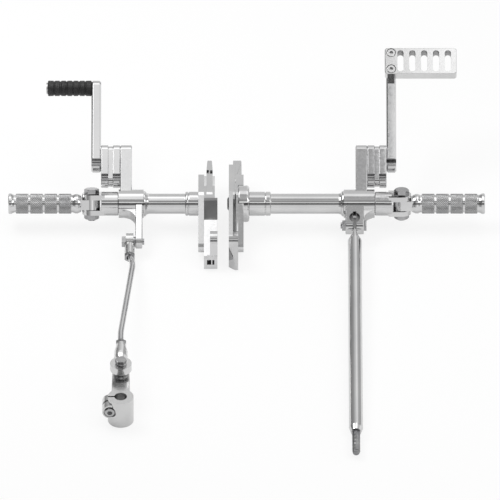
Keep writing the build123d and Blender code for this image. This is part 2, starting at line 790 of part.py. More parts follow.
# Clamp that grips the gearbox shaft
def make_shaft_clamp():
    y = ball_y - clamp_reach
    body = rod_z(clamp_radius, -axis_height, clamp_height, ball_x, y)
    arm = make_hull((
        Pos(ball_x, y) * Circle(clamp_arm_root_radius) + Pos(ball_x, ball_y) * Circle(clamp_eye_radius)
    ).edges())
    side = Plane.YZ * make_face(Polyline(
        (y, clamp_top()), (ball_y + clamp_eye_radius, clamp_top()),
        (ball_y + clamp_eye_radius, clamp_top() - clamp_arm_thickness),
        (ball_y - clamp_eye_radius, clamp_top() - clamp_arm_thickness),
        (y, -axis_height), close=True
    ))
    slab = extrude(Pos(0, 0, -axis_height) * arm, clamp_height)
    body += slab & extrude(Pos(ball_x, 0, 0) * side, 2 * clamp_radius, both=True)
    ear_x, ear_z = clamp_screw_place()
    ear = make_hull((
        Pos(ear_x, ear_z) * Circle(clamp_ear_radius) + Pos(ball_x, ear_z) * Circle(clamp_ear_root_radius)
    ).edges())
    body += Pos(0, y, 0) * extrude(Plane.XZ * ear, clamp_ear_half_width, both=True)
    body -= rod_z(clamp_bore_radius, -axis_height - 1, clamp_height + 2, ball_x, y)
    body -= Pos(ball_x - clamp_ear_reach, y, 0) * Box(2 * clamp_ear_reach, clamp_slit, 120)
    body -= rod_z(eye_bolt_radius + seat_gap, clamp_top() - clamp_arm_thickness - 1, 20, ball_x, ball_y)
    return body - clamp_screw_hole(y)


def clamp_screw_hole(y):
    x, z = clamp_screw_place()
    turn = Pos(x, y, z) * Rot(90, 0, 0)
    hole = rod_z(clamp_screw_radius + seat_gap, -clamp_ear_half_width - 1, 2 * clamp_ear_half_width + 2)
    hole += rod_z(clamp_screw_seat_radius, clamp_ear_half_width - clamp_screw_seat_depth, 2 * clamp_screw_seat_depth)
    return turn * hole


def clamp_screw_place():
    return ball_x - clamp_screw_offset, clamp_top() - clamp_ear_drop


def make_clamp_screw():
    y = ball_y - clamp_reach
    x, z = clamp_screw_place()
    seat = clamp_ear_half_width - clamp_screw_seat_depth
    head = rod_z(clamp_screw_head_radius, seat, clamp_screw_head_length)
    head = chamfer(head.faces().sort_by(Axis.Z)[-1].edges(), clamp_screw_edge)
    head -= hex_z(clamp_screw_socket_width, seat + clamp_screw_head_length / 2, clamp_screw_head_length)
    shank = rod_z(clamp_screw_radius, -clamp_ear_half_width + 1, seat + clamp_ear_half_width - 1)
    return Pos(x, y, z) * Rot(90, 0, 0) * (head + shank)


# Brake rod, drawn along -Y from its eye and then laid at its slope
def brake_eye_place():
    angle = radians(brake_fork_drop)
    return -brake_fork_reach * cos(angle), -brake_fork_reach * sin(angle)


def brake_rod_slope():
    drop = axis_height - brake_tube_radius - 0.15
    return (drop + brake_eye_place()[1]) / brake_rod_length


def make_brake_rod_flat():
    tongue = Plane.YZ * (
        Circle(brake_tongue_radius) + Pos(-brake_flat_length / 2, 0) * Rectangle(brake_flat_length, 2 * brake_tongue_radius)
    )
    body = extrude(tongue, brake_tongue_thickness / 2, both=True)
    thin = Plane.XZ.offset(brake_flat_length) * RectangleRounded(
        brake_tongue_thickness, 2 * brake_tongue_radius, brake_tongue_thickness / 2 - 0.05
    )
    thick = Plane.XZ.offset(brake_flat_length + brake_flare_length) * Circle(brake_tube_radius)
    body += loft(Sketch() + [thin, thick])
    tube_start = brake_flat_length + brake_flare_length
    taper_start = brake_rod_length - brake_taper_length
    run = Polyline(
        (tube_start, 0), (tube_start, brake_tube_radius), (taper_start, brake_tube_radius),
        (brake_rod_length, brake_stud_radius + 1.4), (brake_rod_length, 0), close=True
    )
    tube = Rot(0, 0, -90) * revolve(make_face(run), Axis.X)
    body += tube
    body -= rod_x(brake_rod_bolt_radius + turn_gap, -20, 40)
    stud_hole = Pos(0, -brake_rod_length - 1, 0) * Rot(-90, 0, 0) * Cylinder(
        brake_stud_seat_radius + seat_gap, brake_stud_depth + 1, align=(Align.CENTER, Align.CENTER, Align.MIN)
    )
    return body - stud_hole


def make_brake_stud_flat():
    start = brake_rod_length - brake_stud_depth + 1
    end = brake_rod_length + brake_stud_length
    run = Polyline(
        (start, 0), (start, brake_stud_seat_radius), (brake_rod_length, brake_stud_seat_radius),
        (brake_rod_length, brake_stud_radius), (end - brake_stud_chamfer, brake_stud_radius),
        (end, brake_stud_radius - brake_stud_chamfer), (end, 0), close=True
    )
    return Rot(0, 0, -90) * revolve(make_face(run), Axis.X)


def lay_brake_rod(shape, middle):
    y, z = brake_eye_place()
    slope = brake_rod_slope()
    return Pos(middle, y, z) * Rot(degrees(slope), 0, 0) * shape


def make_brake_rod_bolt(fork_start):
    y, z = brake_eye_place()
    fork_end = fork_start + brake_fork_width
    bolt = rod_x(brake_rod_bolt_radius, fork_start - brake_rod_nut_length - 2, brake_fork_width + brake_rod_nut_length + 2, y, z)
    bolt += hex_x(brake_rod_bolt_width, fork_end, brake_rod_bolt_head_length, y, z)
    nut = hex_x(brake_rod_bolt_width, fork_start - brake_rod_nut_length, brake_rod_nut_length, y, z)
    nut -= rod_x(brake_rod_bolt_radius + seat_gap, fork_start - 10, 20, y, z)
    return bolt, nut


# Assembly
def left_side():
    base = left_bracket_thickness + left_flange_thickness
    barrel, shoulder, end = make_barrel(base, left_collar_length, left_tube_length, left_hub_length)
    hub_start = shoulder + side_gap
    link_start = hub_start + arm_offset + arm_thickness
    inner, outer, spacer, link_end = make_links(link_start)
    lever_start = link_end + link_gap
    lever_end = lever_start + lever_thickness
    lever = lever_bar(lever_start, shift_lever_reach)
    lever -= rod_x(toe_stud_radius + seat_gap, lever_start + 1.5, lever_thickness, y=shift_lever_reach)
    pins = make_adjuster_pins(hub_start, link_start, link_end, lever_end)
    eye, eye_bolt, eye_spacer, eye_middle = make_eye_parts(hub_start + shift_arm_offset)
    pivot = end + fork_reach
    tilt = Rot(lever_tilt, 0, 0)
    turn = Rot(-left_peg_turn, 0, 0)
    pieces = {
        "left_bracket": make_left_bracket(),
        "left_barrel": barrel,
        "left_axle_bolt": make_axle_bolt(end, left_head_start),
        "left_bushings": make_bushings(shoulder, left_hub_length),
        "shift_hub": make_shift_hub(shoulder),
        "shift_inner_link": tilt * inner,
        "shift_outer_link": tilt * outer,
        "shift_link_spacer": tilt * spacer,
        "shift_adjuster_pins": tilt * pins,
        "shift_lever_arm": tilt * lever,
        "toe_peg_stud": tilt * make_toe_stud(lever_start),
        "toe_peg_sleeve": tilt * make_toe_sleeve(lever_end),
        "left_peg_mount": turn * make_mount(end),
        "left_peg": turn * make_peg(pivot),
        "left_peg_bolt": turn * make_peg_bolt(pivot),
        "left_peg_nut": turn * make_peg_nut(pivot),
        "shift_rod_eye": eye,
        "shift_eye_bolt": eye_bolt,
        "shift_eye_spacer": eye_spacer,
    }
    placed = {name: on_left(shape) for name, shape in pieces.items()}
    placed["shift_rod"] = make_shift_rod(eye_middle)
    placed["shift_jam_nuts"] = make_jam_nuts(eye_middle)
    placed["shift_ball_housing"] = make_ball_housing()
    placed["shift_ball"] = make_ball()
    placed["shift_ball_spacer"] = make_ball_spacer()
    placed["shift_ball_bolt"] = make_ball_bolt()
    placed["shift_ball_nut"] = make_ball_nut()
    placed["shaft_clamp"] = make_shaft_clamp()
    placed["shaft_clamp_screw"] = make_clamp_screw()
    print("left pivot", -pivot, "eye", -eye_middle, shift_eye_place(), "ball z", ball_z())
    return placed


def right_side():
    base = right_bracket_thickness + spacer_ring_length
    barrel, shoulder, end = make_barrel(base, right_collar_length, right_tube_length, right_hub_length)
    hub_start = shoulder + side_gap
    fork_start = hub_start + brake_fork_offset
    link_start = hub_start + arm_offset + arm_thickness
    inner, outer, spacer, link_end = make_links(link_start)
    lever_start = link_end + link_gap
    lever_end = lever_start + lever_thickness
    ring = turned([
        (right_bracket_thickness, axle_radius + hole_gap),
        (right_bracket_thickness, spacer_ring_radius - 1),
        (right_bracket_thickness + 1, spacer_ring_radius),
        (base - 3, spacer_ring_radius),
        (base - 1, spacer_ring_radius - 0.8),
        (base, spacer_ring_radius - 3),
        (base, axle_radius + hole_gap),
    ])
    pivot = end + fork_reach
    tilt = Rot(lever_tilt, 0, 0)
    turn = Rot(-right_peg_turn, 0, 0)
    rod_bolt, rod_nut = make_brake_rod_bolt(fork_start)
    middle = fork_start + brake_fork_width / 2
    pieces = {
        "right_bracket": make_right_bracket(),
        "right_spacer_ring": ring,
        "right_barrel": barrel,
        "right_axle_bolt": make_axle_bolt(end, right_head_start),
        "right_bushings": make_bushings(shoulder, right_hub_length),
        "brake_hub": make_brake_hub(shoulder),
        "brake_inner_link": tilt * inner,
        "brake_outer_link": tilt * outer,
        "brake_link_spacer": tilt * spacer,
        "brake_adjuster_pins": tilt * make_adjuster_pins(hub_start, link_start, link_end, lever_end),
        "brake_lever_arm": tilt * make_brake_lever(lever_start),
        "brake_pad": tilt * make_pad(lever_start),
        "brake_pad_screws": tilt * make_pad_screws(lever_start),
        "right_peg_mount": turn * make_mount(end),
        "right_peg": turn * make_peg(pivot),
        "right_peg_bolt": turn * make_peg_bolt(pivot),
        "right_peg_nut": turn * make_peg_nut(pivot),
        "brake_rod": lay_brake_rod(make_brake_rod_flat(), middle),
        "brake_rod_stud": lay_brake_rod(make_brake_stud_flat(), middle),
        "brake_rod_bolt": rod_bolt,
        "brake_rod_nut": rod_nut,
    }
    print("right pivot", bracket_spacing + pivot, "rod eye", bracket_spacing + middle, brake_eye_place())
    return {name: on_right(shape) for name, shape in pieces.items()}


os.makedirs("parts", exist_ok=True)
for node, solid in {**left_side(), **right_side()}.items():
    export_step(solid, f"parts/{node}.step")
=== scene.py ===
import bpy
import json
from math import atan2, cos, pi, radians, sin
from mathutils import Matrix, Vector


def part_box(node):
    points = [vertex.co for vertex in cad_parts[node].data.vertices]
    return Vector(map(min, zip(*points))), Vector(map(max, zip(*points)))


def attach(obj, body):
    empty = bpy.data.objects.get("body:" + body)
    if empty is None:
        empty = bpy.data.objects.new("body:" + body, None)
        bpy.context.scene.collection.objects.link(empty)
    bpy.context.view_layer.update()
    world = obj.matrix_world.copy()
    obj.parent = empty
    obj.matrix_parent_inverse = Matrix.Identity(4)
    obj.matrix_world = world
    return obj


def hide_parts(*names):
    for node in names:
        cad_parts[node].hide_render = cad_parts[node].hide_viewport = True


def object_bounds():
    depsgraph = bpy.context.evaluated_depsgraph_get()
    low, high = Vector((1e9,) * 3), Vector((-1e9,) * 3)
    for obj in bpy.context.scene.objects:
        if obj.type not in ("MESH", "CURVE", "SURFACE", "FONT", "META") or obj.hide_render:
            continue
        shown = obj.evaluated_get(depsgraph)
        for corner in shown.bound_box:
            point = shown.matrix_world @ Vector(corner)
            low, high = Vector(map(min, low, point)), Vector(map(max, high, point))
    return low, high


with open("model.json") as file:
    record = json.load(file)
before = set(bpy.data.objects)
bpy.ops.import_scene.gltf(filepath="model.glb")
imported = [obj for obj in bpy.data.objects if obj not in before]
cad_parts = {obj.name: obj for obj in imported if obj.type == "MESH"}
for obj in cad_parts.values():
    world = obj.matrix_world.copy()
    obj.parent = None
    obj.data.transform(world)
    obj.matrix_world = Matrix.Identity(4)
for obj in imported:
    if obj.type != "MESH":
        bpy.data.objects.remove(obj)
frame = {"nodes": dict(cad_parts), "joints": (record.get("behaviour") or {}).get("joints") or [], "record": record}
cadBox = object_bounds()
nodes = frame["nodes"]
scene = bpy.context.scene
scene.view_settings.view_transform = "Standard"
print("stage: frame loaded,", len(nodes), "nodes")

cameraLook = {
    "target": (0.0424, -0.1004, 0.0),  # what the middle of the picture looks at, level with the peg axis
    "elevation": 37.0,
    "distance": 25.0,  # far away, because the photo has hardly any perspective
    "widthAtTarget": 0.650,
    "sensorWidth": 36.0,
    "clip": (0.05, 60.0),
}


def makeCamera(look):
    bpy.ops.object.camera_add()
    camera = bpy.context.object
    camera.name = "camera"
    tilt = radians(look["elevation"])
    back = Vector((0.0, -cos(tilt), sin(tilt)))
    camera.location = Vector(look["target"]) + back * look["distance"]
    camera.rotation_mode = "QUATERNION"
    camera.rotation_quaternion = (-back).to_track_quat("-Z", "Y")
    camera.data.sensor_width = look["sensorWidth"]
    camera.data.lens = look["sensorWidth"] * look["distance"] / look["widthAtTarget"]
    camera.data.clip_start, camera.data.clip_end = look["clip"]
    scene.camera = camera


makeCamera(cameraLook)
print("stage: camera")


# material helpers
def findNode(tree, kind):
    return next(node for node in tree.nodes if node.type == kind)


def addNode(tree, kind, **values):
    node = tree.nodes.new(kind)
    for key, value in values.items():
        setattr(node, key, value)
    return node


def newMaterial(name):
    material = bpy.data.materials.new(name)
    material.use_nodes = True
    return material, material.node_tree, findNode(material.node_tree, "BSDF_PRINCIPLED")


def wear(piece, slot):
    # one material on the whole piece, by the name of its slot
    piece.data.materials.clear()
    piece.data.materials.append(finishes[slot])


def noiseOn(tree, scale, detail):
    place = addNode(tree, "ShaderNodeTexCoord")
    noise = addNode(tree, "ShaderNodeTexNoise")
    noise.inputs["Scale"].default_value = scale
    noise.inputs["Detail"].default_value = detail
    tree.links.new(place.outputs["Object"], noise.inputs["Vector"])
    return noise


def rangeOf(tree, source, low, high, start=0.3, end=0.7):
    # spreads a value between two others; most of a noise lies between the start and end given here
    spread = addNode(tree, "ShaderNodeMapRange")
    spread.inputs["From Min"].default_value = start
    spread.inputs["From Max"].default_value = end
    spread.inputs["To Min"].default_value = low
    spread.inputs["To Max"].default_value = high
    tree.links.new(source, spread.inputs["Value"])
    return spread.outputs["Result"]


# every finish is cloudy in tone and grainy in roughness, and the grain is also a fine bump
grainShape = {"cloudDetail": 3.0, "bumpDepth": 0.0002}
finishLooks = {
    "polished_alloy": {
        "name": "polishedAlloy", "metal": 1.0, "dark": (0.60, 0.60, 0.605), "light": (0.65, 0.65, 0.65),
        "cloudScale": 22.0, "grainScale": 260.0, "grainDetail": 4.0, "rough": (0.05, 0.12), "bump": 0.03,
    },
    "satin_alloy": {
        "name": "satinAlloy", "metal": 1.0, "dark": (0.60, 0.60, 0.60), "light": (0.68, 0.68, 0.68),
        "cloudScale": 18.0, "grainScale": 500.0, "grainDetail": 4.0, "rough": (0.16, 0.26), "bump": 0.15,
    },
    "knurled_alloy": {
        "name": "knurledAlloy", "metal": 1.0, "dark": (0.74, 0.74, 0.75), "light": (0.82, 0.82, 0.82),
        "cloudScale": 40.0, "grainScale": 400.0, "grainDetail": 4.0, "rough": (0.30, 0.42), "bump": 0.15,
    },
    "bolt_steel": {
        "name": "boltSteel", "metal": 1.0, "dark": (0.34, 0.34, 0.35), "light": (0.46, 0.46, 0.46),
        "cloudScale": 60.0, "grainScale": 400.0, "grainDetail": 4.0, "rough": (0.10, 0.22), "bump": 0.1,
    },
    "rod_steel": {
        "name": "rodSteel", "metal": 1.0, "dark": (0.52, 0.52, 0.53), "light": (0.60, 0.60, 0.60),
        "cloudScale": 30.0, "grainScale": 300.0, "grainDetail": 4.0, "rough": (0.14, 0.24), "bump": 0.1,
    },
    "stud_steel": {
        "name": "studSteel", "metal": 1.0, "dark": (0.20, 0.20, 0.21), "light": (0.34, 0.34, 0.34),
        "cloudScale": 60.0, "grainScale": 400.0, "grainDetail": 4.0, "rough": (0.28, 0.42), "bump": 0.1,
    },
    "bushing": {
        "name": "bushingBronze", "metal": 1.0, "dark": (0.42, 0.31, 0.16), "light": (0.56, 0.42, 0.24),
        "cloudScale": 60.0, "grainScale": 600.0, "grainDetail": 4.0, "rough": (0.3, 0.5), "bump": 0.3,
    },
    "rubber": {
        "name": "toeRubber", "metal": 0.0, "dark": (0.008, 0.008, 0.008), "light": (0.022, 0.022, 0.022),
        "cloudScale": 90.0, "grainScale": 900.0, "grainDetail": 2.0, "rough": (0.42, 0.6), "bump": 0.25,
    },
}


def makeFinish(look):
    material, tree, shader = newMaterial(look["name"])
    shader.inputs["Metallic"].default_value = look["metal"]
    cloud = noiseOn(tree, look["cloudScale"], grainShape["cloudDetail"])
    tint = addNode(tree, "ShaderNodeMix", data_type="RGBA")
    tint.inputs["A"].default_value = (*look["dark"], 1.0)
    tint.inputs["B"].default_value = (*look["light"], 1.0)
    tree.links.new(rangeOf(tree, cloud.outputs["Fac"], 0.0, 1.0), tint.inputs["Factor"])
    tree.links.new(tint.outputs["Result"], shader.inputs["Base Color"])
    grain = noiseOn(tree, look["grainScale"], look["grainDetail"])
    tree.links.new(rangeOf(tree, grain.outputs["Fac"], *look["rough"]), shader.inputs["Roughness"])
    bump = addNode(tree, "ShaderNodeBump")
    bump.inputs["Strength"].default_value = look["bump"]
    bump.inputs["Distance"].default_value = grainShape["bumpDepth"]
    tree.links.new(grain.outputs["Fac"], bump.inputs["Height"])
    tree.links.new(bump.outputs["Normal"], shader.inputs["Normal"])
    return material


# tone by mesh attribute: painted shade makes the knurl's cuts darker than its points, and faces that the cutter
# left dull are rougher than the polish around them and darker by painted shade
knurlPaintedShade = {"valleyPaintedShade": 0.10}
dullShadedLook = {"shade": 0.36, "rough": 0.5, "slots": ("polished_alloy", "satin_alloy")}


def shadeByAttribute(material, attribute, atZero, atOne):
    # multiplies the base colour by a grey that follows a mesh attribute
    tree = material.node_tree
    shader = findNode(tree, "BSDF_PRINCIPLED")
    tint = shader.inputs["Base Color"].links[0].from_socket
    mark = addNode(tree, "ShaderNodeAttribute", attribute_name=attribute)
    shade = addNode(tree, "ShaderNodeMix", data_type="RGBA", blend_type="MULTIPLY")
    shade.inputs["Factor"].default_value = 1.0
    tree.links.new(tint, shade.inputs["A"])
    tree.links.new(rangeOf(tree, mark.outputs["Fac"], atZero, atOne, 0.0, 1.0), shade.inputs["B"])
    tree.links.new(shade.outputs["Result"], shader.inputs["Base Color"])
    return tree, shader, mark


# marked faces get a rougher finish and painted shade that darkens their colour
def roughenAndShadeFaces(material, look):
    tree, shader, shadeMark = shadeByAttribute(material, "dullShadedFace", 1.0, look["shade"])
    rough = shader.inputs["Roughness"].links[0].from_socket
    dull = addNode(tree, "ShaderNodeMath", operation="MULTIPLY_ADD")
    tree.links.new(shadeMark.outputs["Fac"], dull.inputs[0])
    dull.inputs[1].default_value = look["rough"]
    tree.links.new(rough, dull.inputs[2])
    tree.links.new(dull.outputs[0], shader.inputs["Roughness"])


finishes = {slot: makeFinish(look) for slot, look in finishLooks.items()}
# painted shade in the knurl's cuts, darker than its points
shadeByAttribute(finishes["knurled_alloy"], "knurlPoint", knurlPaintedShade["valleyPaintedShade"], 1.0)
for slot in dullShadedLook["slots"]:
    roughenAndShadeFaces(finishes[slot], dullShadedLook)

slotOf = {part["node"]: part["material_slot"] for part in frame["record"]["subparts"]}
bodyOf = {}
for body, members in frame["record"]["behaviour"]["bodies"].items():
    for member in members:
        bodyOf[member] = body
pivotOf = {joint["name"]: Vector(joint["pos_m"]) for joint in frame["joints"]}
for name, node in nodes.items():
    wear(node, slotOf[name])
print("stage: finishes")


# helpers for shaping
def makeActive(piece):
    bpy.ops.object.select_all(action="DESELECT")
    piece.select_set(True)
    bpy.context.view_layer.objects.active = piece


def pick(piece, wanted, kind="VERT"):
    # selects the corners or edges that a rule wants, and stays in edit mode
    bpy.ops.object.mode_set(mode="EDIT")
    bpy.ops.mesh.select_mode(type=kind)
    bpy.ops.mesh.select_all(action="DESELECT")
    bpy.ops.object.mode_set(mode="OBJECT")
    groups = {"VERT": piece.data.vertices, "EDGE": piece.data.edges}
    for part in groups[kind]:
        part.select = wanted(part)
    bpy.ops.object.mode_set(mode="EDIT")


def alongX(piece, edge):
    # an edge that runs along the tube and not round it
    first, second = (piece.data.vertices[i].co for i in edge.vertices)
    return abs(first.x - second.x) > 0.5 * (first - second).length


def addTube(name, look, centre, length):
    # an open tube round an axis along X, cut into even rows
    bpy.ops.object.select_all(action="DESELECT")
    bpy.ops.mesh.primitive_cylinder_add(
        vertices=look["columns"], radius=look["radius"], depth=length, end_fill_type="NOTHING",
        location=centre, rotation=(0.0, pi / 2, 0.0),
    )
    piece = bpy.context.object
    piece.name = name
    bpy.ops.object.transform_apply(location=True, rotation=True, scale=True)
    pick(piece, lambda edge: alongX(piece, edge), "EDGE")
    bpy.ops.mesh.subdivide(number_cuts=look["rows"] - 1)
    bpy.ops.object.mode_set(mode="OBJECT")
    return piece


def gridPlace(vertex, look, centre, length):
    # the column round the tube and the row along it that a corner stands in
    turn = atan2(vertex.co.z - centre[2], vertex.co.y - centre[1])
    column = round(turn / (2 * pi / look["columns"]))
    row = round((vertex.co.x - centre[0] + length / 2) / (length / look["rows"]))
    return column % look["columns"], row


def sinkRows(piece, look, centre, length, radius, wanted):
    # the chosen corners of a tube go to another radius
    share = radius / look["radius"]
    pick(piece, lambda vertex: wanted(*gridPlace(vertex, look, centre, length)))
    bpy.ops.transform.resize(value=(1.0, share, share), center_override=centre)
    bpy.ops.object.mode_set(mode="OBJECT")


def closeEnds(piece, centre, inner, outer):
    # both open ends are drawn in towards the axis
    edgeUse = {}
    for face in piece.data.polygons:
        for key in face.edge_keys:
            edgeUse[key] = edgeUse.get(key, 0) + 1
    pick(piece, lambda edge: edgeUse.get(edge.key, 0) == 1, "EDGE")
    bpy.ops.mesh.extrude_edges_move()
    share = inner / outer
    bpy.ops.transform.resize(value=(1.0, share, share), center_override=centre)
    bpy.ops.mesh.select_all(action="SELECT")
    bpy.ops.mesh.normals_make_consistent(inside=False)
    bpy.ops.object.mode_set(mode="OBJECT")


# knurled bands of the two pegs, each a ring of small pyramids
pegKnurl = {
    "columns": 64, "rows": 12, "radius": 0.01312, "valley": 0.01268, "endRadius": 0.01292,
    "firstBand": 0.0265, "bandLength": 0.0162, "bandPitch": 0.01865, "bands": 4, "innerRadius": 0.0120,
    "shine": "knurled_alloy",
}


def makeKnurledBands(name, pivot, direction, body, look):
    length = look["bandLength"]
    centre = (pivot.x + direction * (look["firstBand"] + length / 2), pivot.y, pivot.z)
    piece = addTube(name, look, centre, length)
    sinkRows(piece, look, centre, length, look["valley"], lambda column, row: (column + row) % 2 == 1)
    # points are marked 1 and cuts 0; the cuts get painted shade
    point = piece.data.attributes.new("knurlPoint", "FLOAT", "POINT")
    for vertex in piece.data.vertices:
        column, row = gridPlace(vertex, look, centre, length)
        point.data[vertex.index].value = float((column + row) % 2 == 0)
    ends = (0, look["rows"])

    def endPoint(column, row):
        return row in ends and column % 2 == row % 2

    sinkRows(piece, look, centre, length, look["endRadius"], endPoint)
    closeEnds(piece, centre, look["innerRadius"], look["endRadius"])
    bpy.ops.object.mode_set(mode="EDIT")
    bpy.ops.mesh.select_all(action="SELECT")
    bpy.ops.mesh.quads_convert_to_tris(quad_method="SHORTEST_DIAGONAL")
    bpy.ops.object.mode_set(mode="OBJECT")
    copies = [piece]
    for band in range(1, look["bands"]):
        makeActive(piece)
        bpy.ops.object.duplicate(linked=False)
        bpy.ops.transform.translate(value=(direction * band * look["bandPitch"], 0.0, 0.0))
        bpy.ops.object.transform_apply(location=True, rotation=True, scale=True)
        copies.append(bpy.context.object)
    bpy.ops.object.select_all(action="DESELECT")
    for copy in copies:
        copy.select_set(True)
    bpy.context.view_layer.objects.active = piece
    bpy.ops.object.join()
    wear(piece, look["shine"])
    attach(piece, body)


# screw thread on the stud at the end of the brake rod
studThread = {
    "columns": 24, "rowsPerTurn": 6, "pitch": 0.0015, "radius": 0.0052, "root": 0.0046,
    "innerRadius": 0.0030, "length": 0.0400, "endGap": 0.0018, "smoothAngle": 40.0,
    "core": 0.0044, "shorter": 0.0155,  # the stud itself: its radius under the thread, and how much comes off
}


def endCentre(piece, high, depth=0.001):
    # the middle of a rod's end face, by the corners that lie within a small depth of its last one along Y
    places = sorted((vertex.co for vertex in piece.data.vertices), key=lambda place: place.y, reverse=high)
    last = [place for place in places if abs(place.y - places[0].y) < depth]
    return sum(last, Vector()) / len(last)


def makeStudThread(look):
    centre = (0.0, 0.0, 0.0)
    look = {**look, "rows": round(look["length"] / look["pitch"] * look["rowsPerTurn"])}
    piece = addTube("brakeStudThread", look, centre, look["length"])
    for vertex in piece.data.vertices:
        column, row = gridPlace(vertex, look, centre, look["length"])
        turn = row / look["rowsPerTurn"] + column / look["columns"]
        height = 1.0 - abs(2.0 * (turn % 1.0) - 1.0)
        runOut = min(1.0, (look["rows"] - row) / look["rowsPerTurn"], row / look["rowsPerTurn"])
        radius = look["root"] + (look["radius"] - look["root"]) * height * runOut
        vertex.co.y *= radius / look["radius"]
        vertex.co.z *= radius / look["radius"]
    closeEnds(piece, centre, look["innerRadius"], look["root"])
    top, tip = endCentre(nodes["brake_rod_stud"], True), endCentre(nodes["brake_rod_stud"], False)
    along = (top - tip).normalized()
    makeActive(piece)
    turn = -pi / 2 + atan2(along.x, along.y)
    bpy.ops.transform.rotate(value=turn, orient_axis="Z", center_override=centre)
    middle = tip + along * (look["shorter"] + look["endGap"] + look["length"] / 2)
    bpy.ops.transform.translate(value=tuple(middle))
    bpy.ops.object.transform_apply(location=True, rotation=True, scale=True)
    bpy.ops.object.shade_smooth_by_angle(angle=radians(look["smoothAngle"]))
    wear(piece, slotOf["brake_rod_stud"])
    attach(piece, bodyOf["brake_rod_stud"])


# ribbed rubber sleeve of the toe peg
toeRibs = {
    "columns": 40, "rows": 112, "radius": 0.0102, "rowsPerRib": 16, "ribMargin": 3, "lineRows": (5, 8, 11),
    "grooveRadius": 0.0091, "slopeRadius": 0.0096, "lineRadius": 0.00992, "fluteRadius": 0.01000,
    "endRadius": 0.0094, "roundRadius": 0.0099, "innerRadius": 0.0053, "smoothAngle": 28.0,
}


def makeToeSleeve(look):
    low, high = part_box("toe_peg_sleeve")
    centre = tuple((low + high) / 2)
    length = high.x - low.x
    last, perRib = look["rows"], look["rowsPerRib"]
    piece = addTube("toeSleeveRibbed", look, centre, length)

    def inRib(row):
        return 1 < row < last - 1 and look["ribMargin"] <= row % perRib <= perRib - look["ribMargin"]

    def inGroove(row, stepsAway):
        place = min(row % perRib, -row % perRib)
        return perRib // 2 < row < last - perRib // 2 and place in stepsAway

    def inLine(row):
        return inRib(row) and row % perRib in look["lineRows"]

    cuts = [
        ("grooveRadius", lambda column, row: inGroove(row, (0, 1))),
        ("slopeRadius", lambda column, row: inGroove(row, (2,))),
        ("lineRadius", lambda column, row: inLine(row)),
        ("fluteRadius", lambda column, row: inRib(row) and not inLine(row) and column % 2 == 1),
        ("roundRadius", lambda column, row: row in (1, last - 1)),
        ("endRadius", lambda column, row: row in (0, last)),
    ]
    for key, wanted in cuts:
        sinkRows(piece, look, centre, length, look[key], wanted)
    closeEnds(piece, centre, look["innerRadius"], look["endRadius"])
    bpy.ops.object.shade_smooth_by_angle(angle=radians(look["smoothAngle"]))
    wear(piece, "rubber")
    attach(piece, "shift_lever")
    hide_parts("toe_peg_sleeve")


# softened bodies: the CAD shapes with their edges broken, by the width of each one's bevel
softEdges = {
    "left_bracket": 0.0006, "right_bracket": 0.0006, "shift_hub": 0.0008, "brake_hub": 0.0008,
    "shift_inner_link": 0.0004, "shift_outer_link": 0.0004, "brake_inner_link": 0.0004,
    "brake_outer_link": 0.0004, "shift_link_spacer": 0.0003, "brake_link_spacer": 0.0003,
    "shift_lever_arm": 0.0006, "brake_lever_arm": 0.0006, "brake_pad": 0.0006, "left_peg_mount": 0.0006,
    "right_peg_mount": 0.0006, "left_peg": 0.0003, "right_peg": 0.0003, "shaft_clamp": 0.0009,
    "shift_rod_eye": 0.0005, "shift_ball_housing": 0.0008, "left_barrel": 0.0005, "right_barrel": 0.0005,
    "right_spacer_ring": 0.0005, "brake_rod": 0.0004, "left_peg_bolt": 0.0003, "right_peg_bolt": 0.0003,
    "left_peg_nut": 0.0003, "right_peg_nut": 0.0003, "shift_ball_bolt": 0.0003, "left_axle_bolt": 0.0004,
    "right_axle_bolt": 0.0004, "shift_eye_bolt": 0.0003, "brake_rod_bolt": 0.0003, "brake_rod_nut": 0.0003,
    "shift_adjuster_pins": 0.0003, "brake_adjuster_pins": 0.0003, "shift_jam_nuts": 0.0006,
    "shaft_clamp_screw": 0.0004, "shift_ball_spacer": 0.0003, "toe_peg_stud": 0.0004,
    "brake_rod_stud": 0.0002, "brake_pad_screws": 0.0003,
}
softening = {
    "merge": 0.00001, "flat": 1.0, "segments": 2, "bevelAngle": 32.0, "smoothAngle": 28.0, "flatWeight": 90,
}


def softName(nodeName):
    words = nodeName.split("_")
    return words[0] + "".join(word.capitalize() for word in words[1:]) + "Soft"


# the brackets' outlines are rounded more than their other edges, and their far fingers narrow: where each
# finger starts and ends along Y and across X, and how strongly it narrows
bracketShapes = {
    "left_bracket": {"round": 0.0016, "tipAlong": (0.070, 0.0895), "tipAcross": (-0.0146, -0.0062)},
    "right_bracket": {"round": 0.0014, "tipAlong": (0.076, 0.0905), "tipAcross": (0.0214, 0.0318)},
}
outlineRounding = {"sharpAngle": 35.0, "level": 0.00002, "segments": 3}
tipNarrowing = {"share": 0.82, "power": 2.2, "slack": 0.0005}
pocketAreas = [((0.044, 0.058), (-0.004, 0.030)), ((-0.105, -0.092), (-0.036, -0.010))]  # along Y and Z


def inPocket(point):
    for (backStart, backEnd), (lowStart, lowEnd) in pocketAreas:
        if backStart < point.y < backEnd and lowStart < point.z < lowEnd:
            return True
    return False


